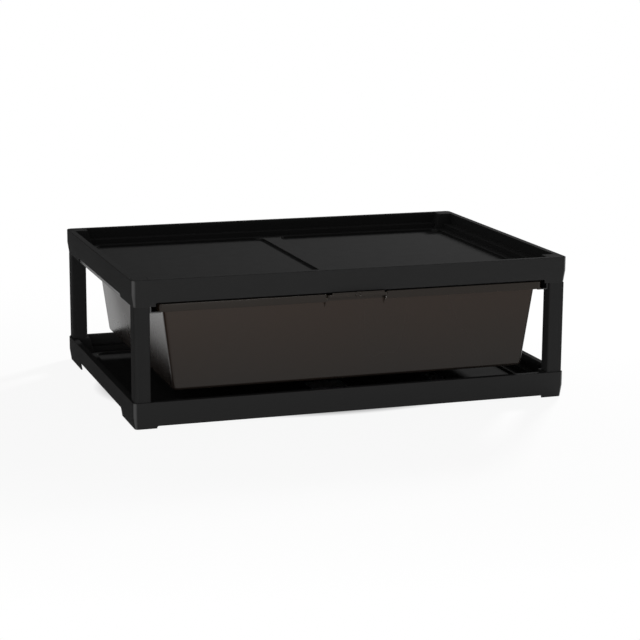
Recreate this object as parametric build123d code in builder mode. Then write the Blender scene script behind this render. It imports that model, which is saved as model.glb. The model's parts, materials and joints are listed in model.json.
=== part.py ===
from build123d import *
import os
from math import atan, degrees

# One level of a stackable tub rack: two deep-skirted trays held apart by four corner posts,
# and a tapered tub whose lip hangs on a pair of runners under the upper tray.
# Millimetres. X runs left to right, Y front to back, Z up. The origin is the middle of the
# plan outline, pull included, on the surface that the rack stands on.

# Rack, over the tray skirts
rack_width = 960.0
rack_depth = 680.0
level_pitch = 254.0
tray_height = 56.0

# Tray moulding, from the rim inwards
skin = 3.0
corner_radius = 12.0
rim_width = 13.0
rim_edge_radius = 1.5
rim_drop = 24.0
rim_inner_radius = 8.0
upper_ledge_width = 21.0
ledge_drop = 11.0
ledge_radius = 14.0
lower_ledge_width = 18.0
panel_drop = 5.0
panel_radius = 26.0
strip_width = 40.0

# Tray skirts and feet
taper_start = 30.0
skirt_taper = 4.0
lower_front_skirt_lift = 5.0
lower_side_skirt_lift = 18.0
upper_front_skirt_lift = 8.0
upper_side_skirt_lift = 7.0
arch_radius = 3.5
front_foot_length = 50.0
side_foot_length = 125.0

# Ribs under the tray deck and webs inside the hollow rim
rib_thickness = 2.5
rib_lift = 7.0
ribs_front_to_back = 4
ribs_side_to_side = 3
webs_front_to_back = 5
webs_side_to_side = 3

# Windows in the lower tray's deck
centre_window_width = 90.0
side_window_width = 40.0
side_window_offset = 254.0
window_length = 140.0
window_setback = 100.0
window_radius = 6.0

# Corner posts and the square sockets that take them
post_size = 34.0
post_wall = 2.5
post_radius = 4.0
post_margin = 4.0
seat_depth = 3.0
seat_clearance = 0.3
socket_depth = 25.0
socket_web = 3.0
buttress_spread = 10.0

# Plugs that join a post to a tray, and caps for the empty upper sockets
plug_clearance = 0.2
plug_wall = 2.5
plug_reach = 25.0
plug_chamfer = 1.0
cap_plug_length = 16.0
cap_edge_chamfer = 0.8

# Tub
tub_side_gap = 17.0
tub_front_setback = 4.0
tub_rear_setback = 12.0
tub_top_gap = 2.5
tub_floor_gap = 14.0
tub_wall = 3.0
tub_side_draft = 24.0
tub_end_draft = 12.0
tub_corner_radius = 10.0
tub_floor_radius = 7.0
lip_width = 11.0
lip_face = 16.5
lip_thickness = 2.5
lip_radius = 14.0
lip_edge_radius = 1.8

# Pull on the front of the tub
pull_width = 134.0
pull_reach = 12.0
pull_radius = 9.0
pull_face = 7.0
pull_rise = 4.0
pull_rise_radius = 1.0
pull_gusset_drop = 32.0
eyelet_radius = 7.0
eyelet_hole_radius = 2.8
eyelet_thickness = 3.0
eyelet_rise = 5.0

# Runners under the upper tray
runner_thickness = 2.5
runner_inset = 22.0
runner_flange = 13.0
runner_boss_height = 4.0
runner_end_gap = 1.5
runner_rest_gap = 0.3
runner_wall_gap = 3.0
runner_front_setback = 12.0
runner_stop_gap = 0.5
stop_height = 12.0

# Screws that hold the runners up
screw_count = 3
screw_shank_radius = 1.9
screw_head_radius = 4.0
screw_head_height = 2.6
screw_bite = 5.5
screw_hole_clearance = 0.3
screw_thread_clearance = 0.05
boss_size = 9.2

# Levels of one tray, above its own feet
rim_z = tray_height
upper_ledge_z = rim_z - rim_drop
lower_ledge_z = upper_ledge_z - ledge_drop
panel_z = lower_ledge_z - panel_drop
taper_z = rim_z - taper_start
socket_floor_z = socket_depth + socket_web
taper_angle = degrees(atan(skirt_taper / taper_z))

# Insets from the rack's outline
ledge_inset = rim_width + upper_ledge_width
panel_inset = ledge_inset + lower_ledge_width
block_size = post_size + 2 * post_margin
post_inset = block_size / 2

# Places worked out from the sizes above
front_reach = pull_reach + eyelet_thickness - tub_front_setback
rack_y = front_reach / 2
half_width = rack_width / 2
half_depth = rack_depth / 2
post_x = half_width - post_inset
post_y = half_depth - post_inset
post_inner_x = half_width - block_size + post_margin
block_inner_y = half_depth - block_size
socket_size = post_size - 2 * post_wall
plug_size = socket_size - 2 * plug_clearance
panel_width = (rack_width - 2 * panel_inset - strip_width) / 2
panel_depth = rack_depth - 2 * panel_inset
panel_x = (strip_width + panel_width) / 2
lip_top_z = level_pitch + rib_lift - tub_top_gap
lip_bottom_z = lip_top_z - lip_face
lip_half_width = post_inner_x - tub_side_gap
lip_front_y = rack_y - half_depth + tub_front_setback
lip_rear_y = rack_y + half_depth - tub_rear_setback
lip_depth = lip_rear_y - lip_front_y
tub_y = (lip_front_y + lip_rear_y) / 2
tub_bottom_z = rim_z + tub_floor_gap
tub_top_width = 2 * (lip_half_width - lip_width)
tub_top_depth = lip_depth - 2 * lip_width
pull_front_y = lip_front_y - pull_reach
eyelet_z = lip_top_z + eyelet_rise - eyelet_radius
runner_top_z = level_pitch + upper_ledge_z - skin - runner_boss_height
shelf_top_z = lip_bottom_z - runner_rest_gap
shelf_bottom_z = shelf_top_z - runner_thickness
runner_face_x = half_width - runner_inset
runner_half_length = block_inner_y - runner_end_gap
shelf_inner_x = tub_top_width / 2 + runner_wall_gap
tail_outer_x = post_inner_x - runner_end_gap
tail_front_y = rack_y - half_depth + runner_front_setback
tail_rear_y = lip_rear_y + runner_stop_gap + runner_thickness
tail_wall_top_z = level_pitch - runner_end_gap
screw_x = runner_face_x + (runner_thickness + runner_flange) / 2
screw_pitch = 2 * (runner_half_length - runner_flange) / max(screw_count - 1, 1)

corners = {
    "front_left": (-1, -1),
    "front_right": (1, -1),
    "rear_left": (-1, 1),
    "rear_right": (1, 1),
}
sides = {"left": -1, "right": 1}

os.makedirs("parts", exist_ok=True)


def level(z):
    """A level work plane at height z, centred on the rack."""
    return Plane(origin=(0, rack_y, z))


def outline(inset, radius):
    """Adds the rack's outline, drawn in by inset, to the open sketch."""
    RectangleRounded(rack_width - 2 * inset, rack_depth - 2 * inset, radius)


def make_blank(base, inset, top, edge_radius=0):
    """A tray's outer form drawn in by inset: an upright band over one that tapers in."""
    with BuildPart() as blank:
        with BuildSketch(level(base + taper_z)):
            outline(inset, corner_radius - inset)
        extrude(amount=top - taper_z)
        if edge_radius > 0:
            fillet(blank.faces().sort_by(Axis.Z)[-1].edges(), edge_radius)
        with BuildSketch(level(base + taper_z)):
            outline(inset, corner_radius - inset)
        extrude(amount=taper_z, dir=(0, 0, -1), taper=taper_angle)
    return blank.part


def make_dish(base, growth):
    """The space that a tray holds, grown outwards and downwards by growth."""
    with BuildPart() as dish:
        with BuildSketch(level(base + upper_ledge_z - growth)):
            outline(rim_width - growth, rim_inner_radius + growth)
        extrude(amount=rim_drop + growth)
        with BuildSketch(level(base + lower_ledge_z - growth)):
            outline(ledge_inset - growth, ledge_radius + growth)
        extrude(amount=ledge_drop)
        with BuildSketch(level(base + panel_z - growth)):
            with GridLocations(2 * panel_x, 0, 2, 1):
                RectangleRounded(
                    panel_width + 2 * growth,
                    panel_depth + 2 * growth,
                    panel_radius + growth,
                )
        extrude(amount=panel_drop)
    return dish.part


def make_hollow(base):
    """The open space under a tray, which leaves one skin all over."""
    with BuildPart() as hollow:
        add(make_blank(base, skin, rim_z - skin))
        add(make_dish(base, skin), mode=Mode.SUBTRACT)
    return hollow.part


def make_ribs(base, hollow):
    """A grid of ribs under the deck, a border rib round it, webs in the rim and bosses."""
    with BuildPart() as ribs:
        deck_width = rack_width - 2 * (ledge_inset - skin)
        deck_depth = rack_depth - 2 * (ledge_inset - skin)
        with BuildSketch(level(base + rib_lift)):
            Rectangle(deck_width, deck_depth)
            Rectangle(
                deck_width - 2 * rib_thickness,
                deck_depth - 2 * rib_thickness,
                mode=Mode.SUBTRACT,
            )
            with GridLocations(deck_width / (ribs_front_to_back + 1), 0, ribs_front_to_back, 1):
                Rectangle(rib_thickness, deck_depth)
            with GridLocations(0, deck_depth / (ribs_side_to_side + 1), 1, ribs_side_to_side):
                Rectangle(deck_width, rib_thickness)
        extrude(amount=upper_ledge_z - rib_lift)
        with BuildSketch(level(base + taper_z)):
            with GridLocations(rack_width / (webs_front_to_back + 1), 0, webs_front_to_back, 1):
                Rectangle(rib_thickness, rack_depth)
            with GridLocations(0, rack_depth / (webs_side_to_side + 1), 1, webs_side_to_side):
                Rectangle(rack_width, rib_thickness)
        extrude(amount=rim_z - taper_z)
        with BuildSketch(level(base + upper_ledge_z - skin - runner_boss_height)):
            with GridLocations(2 * screw_x, screw_pitch, 2, screw_count):
                Rectangle(boss_size, boss_size)
        extrude(amount=runner_boss_height)
        add(hollow, mode=Mode.INTERSECT)
    return ribs.part


def make_corner_blocks(base, blank):
    """The four corner blocks, solid from rim to foot, each with a sloping buttress."""
    spread_height = rim_drop + ledge_drop
    with BuildPart() as blocks:
        with BuildSketch(level(base + lower_ledge_z)):
            with GridLocations(2 * post_x, 2 * post_y, 2, 2):
                Rectangle(block_size + 2 * buttress_spread, block_size + 2 * buttress_spread)
        extrude(
            amount=spread_height,
            taper=degrees(atan(buttress_spread / spread_height)),
        )
        # the buttress stands on the ledges and doesn't fill the hollow under them
        add(make_dish(base, skin / 2), mode=Mode.INTERSECT)
        with BuildSketch(level(base + taper_z)):
            with GridLocations(2 * post_x, 2 * post_y, 2, 2):
                Rectangle(block_size, block_size)
        extrude(amount=rim_z - taper_z)
        with BuildSketch(level(base + taper_z)):
            with GridLocations(2 * post_x, 2 * post_y, 2, 2):
                Rectangle(block_size, block_size)
        extrude(amount=taper_z, dir=(0, 0, -1), taper=taper_angle)
        add(blank, mode=Mode.INTERSECT)
    return blocks.part


def make_tray_cuts(base, front_skirt_lift, side_skirt_lift):
    """What is cut from a tray: arches between its feet, post sockets and screw holes."""
    foot_gap_x = rack_width - 2 * front_foot_length
    foot_gap_y = rack_depth - 2 * side_foot_length
    seat_size = post_size + 2 * seat_clearance
    with BuildPart() as cuts:
        for side in (-1, 1):
            with BuildSketch(Plane.XZ.offset(-rack_y + side * half_depth)):
                with Locations((0, base)):
                    RectangleRounded(foot_gap_x, 2 * front_skirt_lift, arch_radius)
            extrude(amount=rim_width, both=True)
            with BuildSketch(Plane.YZ.offset(side * half_width)):
                with Locations((rack_y, base)):
                    RectangleRounded(foot_gap_y, 2 * side_skirt_lift, arch_radius)
            extrude(amount=rim_width, both=True)
        with BuildSketch(level(base + rim_z)):
            with GridLocations(2 * post_x, 2 * post_y, 2, 2):
                RectangleRounded(seat_size, seat_size, post_radius + seat_clearance)
        extrude(amount=-seat_depth)
        with BuildSketch(level(base + socket_floor_z)):
            with GridLocations(2 * post_x, 2 * post_y, 2, 2):
                Rectangle(socket_size, socket_size)
        extrude(amount=rim_z - socket_floor_z)
        with BuildSketch(level(base)):
            with GridLocations(2 * post_x, 2 * post_y, 2, 2):
                Rectangle(socket_size, socket_size)
        extrude(amount=socket_depth)
        with BuildSketch(level(base + upper_ledge_z - skin - runner_boss_height)):
            with GridLocations(2 * screw_x, screw_pitch, 2, screw_count):
                Circle(screw_shank_radius + screw_thread_clearance)
        extrude(amount=screw_bite)
    return cuts.part


def make_tray(base, front_skirt_lift, side_skirt_lift):
    """One tray: rim, two stepped ledges, two sunk panels, ribs, skirts and corner sockets."""
    blank = make_blank(base, 0, rim_z, rim_edge_radius)
    hollow = make_hollow(base)
    with BuildPart() as tray:
        add(blank)
        add(make_dish(base, 0), mode=Mode.SUBTRACT)
        add(hollow, mode=Mode.SUBTRACT)
        add(make_corner_blocks(base, blank))
        add(make_ribs(base, hollow))
        add(make_tray_cuts(base, front_skirt_lift, side_skirt_lift), mode=Mode.SUBTRACT)
    return tray.part


# Lower tray, with windows through its deck near the front
with BuildPart() as lower_tray:
    add(make_tray(0, lower_front_skirt_lift, lower_side_skirt_lift))
    window_y = -half_depth + window_setback + window_length / 2
    with BuildSketch(level(0)):
        with Locations((0, window_y)):
            RectangleRounded(centre_window_width, window_length, window_radius)
        with Locations((side_window_offset, window_y)):
            RectangleRounded(side_window_width, window_length, window_radius)
    extrude(amount=rim_z, mode=Mode.SUBTRACT)
lower_tray.part.label = "lower_tray"
export_step(lower_tray.part, "parts/lower_tray.step")

# Upper tray
with BuildPart() as upper_tray:
    add(make_tray(level_pitch, upper_front_skirt_lift, upper_side_skirt_lift))
upper_tray.part.label = "upper_tray"
export_step(upper_tray.part, "parts/upper_tray.step")


def make_post(sx, sy):
    """A square tube that stands in a lower socket's seat and meets the foot above."""
    with BuildPart() as post:
        with BuildSketch(level(rim_z - seat_depth)):
            with Locations((sx * post_x, sy * post_y)):
                RectangleRounded(post_size, post_size, post_radius)
                Rectangle(socket_size, socket_size, mode=Mode.SUBTRACT)
        extrude(amount=level_pitch - rim_z + seat_depth)
    return post.part


def make_plug(sx, sy, low, high):
    """A hollow square plug, chamfered on every outer edge, from height low to height high."""
    bore = plug_size - 2 * plug_wall
    with BuildPart() as plug:
        with BuildSketch(level(low)):
            with Locations((sx * post_x, sy * post_y)):
                Rectangle(plug_size, plug_size)
        extrude(amount=high - low)
        chamfer(plug.edges(), plug_chamfer)
        with BuildSketch(level(low)):
            with Locations((sx * post_x, sy * post_y)):
                Rectangle(bore, bore)
        extrude(amount=high - low, mode=Mode.SUBTRACT)
    return plug.part


def make_cap(sx, sy):
    """A cap that closes an upper socket: a plate in the seat over a hollow plug."""
    seat_z = level_pitch + rim_z - seat_depth
    bore = plug_size - 2 * plug_wall
    with BuildPart() as cap:
        with BuildSketch(level(seat_z)):
            with Locations((sx * post_x, sy * post_y)):
                RectangleRounded(post_size, post_size, post_radius)
        extrude(amount=seat_depth)
        chamfer(cap.faces().sort_by(Axis.Z)[-1].edges(), cap_edge_chamfer)
        with BuildSketch(level(seat_z)):
            with Locations((sx * post_x, sy * post_y)):
                Rectangle(plug_size, plug_size)
                Rectangle(bore, bore, mode=Mode.SUBTRACT)
        extrude(amount=-cap_plug_length)
    return cap.part


# Posts, their plugs and the caps, one of each to a corner
for corner, (corner_x, corner_y) in corners.items():
    with BuildPart() as post:
        add(make_post(corner_x, corner_y))
    post.part.label = f"{corner}_post"
    export_step(post.part, f"parts/{corner}_post.step")

    with BuildPart() as lower_plug:
        plug_top_z = rim_z - seat_depth + plug_reach
        add(make_plug(corner_x, corner_y, socket_floor_z, plug_top_z))
    lower_plug.part.label = f"{corner}_lower_plug"
    export_step(lower_plug.part, f"parts/{corner}_lower_plug.step")

    with BuildPart() as upper_plug:
        plug_top_z = level_pitch + socket_depth
        add(make_plug(corner_x, corner_y, level_pitch - plug_reach, plug_top_z))
    upper_plug.part.label = f"{corner}_upper_plug"
    export_step(upper_plug.part, f"parts/{corner}_upper_plug.step")

    with BuildPart() as cap:
        add(make_cap(corner_x, corner_y))
    cap.part.label = f"{corner}_cap"
    export_step(cap.part, f"parts/{corner}_cap.step")


def make_runner(side):
    """A runner: a screwed flange, a web down to a shelf, and tails that pass the posts."""
    shelf_width = tail_outer_x - shelf_inner_x
    tail_length = tail_rear_y - tail_front_y
    tail_y = (tail_rear_y + tail_front_y) / 2
    with BuildPart() as runner:
        # section between the posts
        with BuildSketch(Plane.XZ.offset(-rack_y)):
            with BuildLine():
                Polyline(
                    (side * shelf_inner_x, shelf_bottom_z),
                    (side * (runner_face_x + runner_thickness), shelf_bottom_z),
                    (side * (runner_face_x + runner_thickness), runner_top_z - runner_thickness),
                    (side * (runner_face_x + runner_flange), runner_top_z - runner_thickness),
                    (side * (runner_face_x + runner_flange), runner_top_z),
                    (side * runner_face_x, runner_top_z),
                    (side * runner_face_x, shelf_top_z),
                    (side * shelf_inner_x, shelf_top_z),
                    close=True,
                )
            make_face()
        extrude(amount=runner_half_length, both=True)
        # shelf that runs on past the posts, with a low wall on its outer edge
        with BuildSketch(Plane(origin=(side * shelf_inner_x, tail_y, shelf_bottom_z))):
            with Locations((side * shelf_width / 2, 0)):
                Rectangle(shelf_width, tail_length)
        extrude(amount=runner_thickness)
        for low_y, high_y in (
            (tail_front_y, rack_y - runner_half_length),
            (rack_y + runner_half_length, tail_rear_y),
        ):
            with BuildSketch(Plane.XY.offset(shelf_top_z)):
                with Locations((side * (tail_outer_x - runner_thickness / 2), (low_y + high_y) / 2)):
                    Rectangle(runner_thickness, high_y - low_y)
            extrude(amount=tail_wall_top_z - shelf_top_z)
        # stop behind the tub's lip
        with BuildSketch(Plane.XY.offset(shelf_top_z)):
            with Locations(
                (side * (shelf_inner_x + shelf_width / 2), tail_rear_y - runner_thickness / 2)
            ):
                Rectangle(shelf_width, runner_thickness)
        extrude(amount=stop_height)
        with BuildSketch(level(runner_top_z)):
            with Locations((side * screw_x, 0)):
                with GridLocations(0, screw_pitch, 1, screw_count):
                    Circle(screw_shank_radius + screw_hole_clearance)
        extrude(amount=-runner_thickness, mode=Mode.SUBTRACT)
    return runner.part


def make_screws(side):
    """The screws of one runner: pan heads under its flange, shanks up into the bosses."""
    head_top_z = runner_top_z - runner_thickness
    with BuildPart() as screws:
        with BuildSketch(level(head_top_z)):
            with Locations((side * screw_x, 0)):
                with GridLocations(0, screw_pitch, 1, screw_count):
                    Circle(screw_head_radius)
        extrude(amount=-screw_head_height)
        chamfer(screws.faces().group_by(Axis.Z)[0].edges(), screw_head_height / 2)
        with BuildSketch(level(head_top_z)):
            with Locations((side * screw_x, 0)):
                with GridLocations(0, screw_pitch, 1, screw_count):
                    Circle(screw_shank_radius)
        extrude(amount=runner_thickness + screw_bite)
    return screws.part


# Runners and their screws
for side_name, side_x in sides.items():
    with BuildPart() as runner:
        add(make_runner(side_x))
    runner.part.label = f"{side_name}_runner"
    export_step(runner.part, f"parts/{side_name}_runner.step")

    with BuildPart() as screws:
        add(make_screws(side_x))
    screws.part.label = f"{side_name}_runner_screws"
    export_step(screws.part, f"parts/{side_name}_runner_screws.step")


def make_tub_form(wall):
    """The tub's drafted body, drawn in by wall all over but at the top."""
    low = tub_bottom_z + wall
    rise = (low - tub_bottom_z) / (lip_top_z - tub_bottom_z)
    low_width = tub_top_width - 2 * tub_side_draft * (1 - rise)
    low_depth = tub_top_depth - 2 * tub_end_draft * (1 - rise)
    radius = tub_corner_radius - wall
    with BuildPart() as form:
        with BuildSketch(Plane(origin=(0, tub_y, low))):
            RectangleRounded(low_width - 2 * wall, low_depth - 2 * wall, radius)
        with BuildSketch(Plane(origin=(0, tub_y, lip_top_z))):
            RectangleRounded(tub_top_width - 2 * wall, tub_top_depth - 2 * wall, radius)
        loft(ruled=True)
        fillet(form.faces().sort_by(Axis.Z)[0].edges(), tub_floor_radius - wall)
    return form.part


def make_lip():
    """The flange round the tub's mouth with its turned-down edge, and the pull's shelf."""
    with BuildPart() as lip:
        with BuildSketch(Plane(origin=(0, tub_y, lip_top_z))):
            RectangleRounded(2 * lip_half_width, lip_depth, lip_radius)
        extrude(amount=-lip_face)
        # the pull stands out of the front edge and is not as deep
        with BuildSketch(Plane.XY.offset(lip_top_z)):
            with Locations((0, lip_front_y)):
                RectangleRounded(pull_width, 2 * pull_reach, pull_radius)
        extrude(amount=-pull_face)
        fillet(lip.faces().sort_by(Axis.Z)[-1].edges(), lip_edge_radius)
    return lip.part


# Tub
with BuildPart() as tub:
    add(make_lip())
    # hollow behind the turned-down edges
    with BuildSketch(Plane(origin=(0, tub_y, lip_top_z - lip_thickness))):
        RectangleRounded(
            2 * (lip_half_width - lip_thickness),
            lip_depth - 2 * lip_thickness,
            lip_radius - lip_thickness,
        )
        with Locations((0, lip_front_y - tub_y)):
            RectangleRounded(
                pull_width - 2 * lip_thickness,
                2 * (pull_reach - lip_thickness),
                pull_radius - lip_thickness,
            )
    extrude(amount=-lip_face, mode=Mode.SUBTRACT)
    add(make_tub_form(0))
    # two webs brace the ends of the pull
    with BuildSketch(Plane.YZ.offset(pull_width / 2)):
        with BuildLine():
            Polyline(
                (pull_front_y + pull_radius, lip_top_z - lip_thickness / 2),
                (lip_front_y + lip_width + tub_wall, lip_top_z - lip_thickness / 2),
                (lip_front_y + lip_width + tub_wall, lip_top_z - pull_gusset_drop),
                (pull_front_y + pull_radius, lip_top_z - pull_face),
                close=True,
            )
        make_face()
    extrude(amount=-lip_thickness)
    mirror(about=Plane.YZ)
    add(make_tub_form(tub_wall), mode=Mode.SUBTRACT)
    # the pull's front edge stands up in front of the upper tray's skirt
    with BuildSketch(Plane.XY.offset(lip_top_z - lip_thickness)):
        with Locations((0, pull_front_y + lip_thickness / 2)):
            RectangleRounded(
                pull_width - 2 * pull_radius, lip_thickness, pull_rise_radius
            )
    extrude(amount=lip_thickness + pull_rise)
    # eyelet in the middle of the pull
    with BuildSketch(Plane.XZ.offset(-pull_front_y)):
        with Locations((0, eyelet_z)):
            Circle(eyelet_radius)
    extrude(amount=eyelet_thickness)
    with BuildSketch(Plane.XZ.offset(-pull_front_y)):
        with Locations((0, eyelet_z)):
            Circle(eyelet_hole_radius)
    extrude(amount=eyelet_thickness + lip_thickness, both=True, mode=Mode.SUBTRACT)
tub.part.label = "tub"
export_step(tub.part, "parts/tub.step")
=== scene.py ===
"""The looks of one level of a breeding rack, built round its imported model.

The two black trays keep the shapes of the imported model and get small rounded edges. The posts,
plugs, caps and runners keep theirs and get their own plastics. The tub and the screws are
modelled here with Blender's own tools.
Everything is in metres: X runs left to right, Y front to back and Z up.
"""

import json
import logging
import math
from collections.abc import Callable, Iterator, Sequence
from contextlib import contextmanager
from dataclasses import dataclass
from enum import Enum
from typing import Union

import bmesh
import bpy
from mathutils import Color, Matrix, Vector

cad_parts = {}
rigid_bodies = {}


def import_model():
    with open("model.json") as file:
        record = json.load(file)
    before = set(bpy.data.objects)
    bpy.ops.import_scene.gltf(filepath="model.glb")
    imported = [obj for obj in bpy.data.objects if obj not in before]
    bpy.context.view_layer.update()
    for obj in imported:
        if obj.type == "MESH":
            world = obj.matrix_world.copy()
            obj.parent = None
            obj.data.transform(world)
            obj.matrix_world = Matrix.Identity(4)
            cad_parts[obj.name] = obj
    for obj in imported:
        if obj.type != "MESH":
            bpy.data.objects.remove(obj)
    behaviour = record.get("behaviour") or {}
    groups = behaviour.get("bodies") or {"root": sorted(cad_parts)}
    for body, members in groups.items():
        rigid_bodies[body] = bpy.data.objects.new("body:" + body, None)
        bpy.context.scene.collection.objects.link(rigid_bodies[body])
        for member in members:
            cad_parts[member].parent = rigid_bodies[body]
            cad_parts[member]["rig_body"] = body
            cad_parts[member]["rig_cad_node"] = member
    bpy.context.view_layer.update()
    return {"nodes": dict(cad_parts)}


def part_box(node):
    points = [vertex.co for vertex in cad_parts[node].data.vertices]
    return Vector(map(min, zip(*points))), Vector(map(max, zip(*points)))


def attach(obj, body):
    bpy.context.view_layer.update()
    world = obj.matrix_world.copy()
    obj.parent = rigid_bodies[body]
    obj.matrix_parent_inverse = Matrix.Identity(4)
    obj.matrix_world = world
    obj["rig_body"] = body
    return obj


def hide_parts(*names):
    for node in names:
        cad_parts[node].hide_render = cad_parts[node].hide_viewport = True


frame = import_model()

MM = 0.001
NEAR = 0.02 * MM
WELD = 0.01 * MM

UPRIGHT = (0.0, 0.0, 0.0)
FACING_FRONT = (math.pi / 2, 0.0, 0.0)
WHITE = (1.0, 1.0, 1.0, 1.0)

# The sockets of a colour Mix node, which share their names with its other sockets
MIX_FIRST, MIX_SECOND, MIX_RESULT = 6, 7, 2
# The middle of a noise's range
NOISE_MIDDLE = 0.5
# How far a face looks up where the painted shade on top and the duller finish start, and where they
# are full
FACES_UP = (0.6, 0.98)
# The normal's X and Y, squared and multiplied, beside an upright corner's middle and in it
CORNER_TURN = (0.1, 0.24)
# How far a rounded normal leans from the face's own where wear starts, and where it is full
EDGE_LEAN = (0.01, 0.2)
# How many rays a rounded normal is taken from
EDGE_RAYS = 6

log = logging.getLogger("breeding_rack")

Piece = bpy.types.Object
Material = bpy.types.Material
Socket = bpy.types.NodeSocket
Numbers = tuple[float, ...]
Span = tuple[float, float]
NodeInput = Union["Wire", Socket, float, Numbers]


class Axis(Enum):
    """The axes, in their order in a vector."""

    X = 0
    Y = 1
    Z = 2


class Pick(Enum):
    """What kind of mesh element a selection is made of."""

    CORNER = "VERT"
    EDGE = "EDGE"
    FACE = "FACE"


class Slot(Enum):
    """The names of the record's finish slots."""

    TRAY = "tray_plastic"
    SCREW = "screw_steel"
    TUB = "tub_plastic"


class Body(Enum):
    """The two bodies that the rack moves as."""

    FRAME = "frame"
    TUB = "tub"


@dataclass(frozen=True)
class Shade:
    """A colour, written as the sRGB bytes that it shows under plain light.

    Args:
        red: Its red, from 0 to 255.
        green: Its green.
        blue: Its blue.
    """

    red: int
    green: int
    blue: int

    def linear(self) -> Numbers:
        """The colour as the linear RGBA that a shader socket takes."""
        parts = [channel / 255 for channel in (self.red, self.green, self.blue)]
        return (*Color(parts).from_srgb_to_scene_linear(), 1.0)


class Wire:
    """A number in a material's node tree that takes part in Python sums.

    Args:
        recipe: The recipe whose tree new Math nodes go into.
        socket: The output socket that carries the number.
    """

    def __init__(self, recipe: "Recipe", socket: Socket) -> None:
        """Keeps the recipe and the socket."""
        self.recipe = recipe
        self.socket = socket

    def _sum(self, operation: str, left: NodeInput, right: NodeInput) -> "Wire":
        """Adds a Math node and returns its result."""
        node = self.recipe.node("ShaderNodeMath", {"operation": operation}, {0: left, 1: right})
        return Wire(self.recipe, node.outputs[0])

    def __add__(self, other: NodeInput) -> "Wire":
        """The sum of both."""
        return self._sum("ADD", self, other)

    def __radd__(self, other: NodeInput) -> "Wire":
        """The sum, with a plain number first."""
        return self._sum("ADD", other, self)

    def __sub__(self, other: NodeInput) -> "Wire":
        """The difference of both."""
        return self._sum("SUBTRACT", self, other)

    def __rsub__(self, other: NodeInput) -> "Wire":
        """The difference, with a plain number first."""
        return self._sum("SUBTRACT", other, self)

    def __mul__(self, other: NodeInput) -> "Wire":
        """The product of both."""
        return self._sum("MULTIPLY", self, other)

    def __rmul__(self, other: NodeInput) -> "Wire":
        """The product, with a plain number first."""
        return self._sum("MULTIPLY", other, self)

    def between(self, low: float, high: float) -> "Wire":
        """Stretches the span from low to high over 0 to 1, and stops at both ends.

        Args:
            low: What becomes 0.
            high: What becomes 1.

        Returns:
            The stretched number.
        """
        node = self.recipe.node(
            "ShaderNodeMapRange",
            {"clamp": True},
            {"Value": self, "From Min": low, "From Max": high, "To Min": 0.0, "To Max": 1.0},
        )
        return Wire(self.recipe, node.outputs["Result"])

    def swing(self, width: float) -> "Wire":
        """Turns a noise into one that swings about 0 and is width wide."""
        return (self - NOISE_MIDDLE) * width


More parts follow.
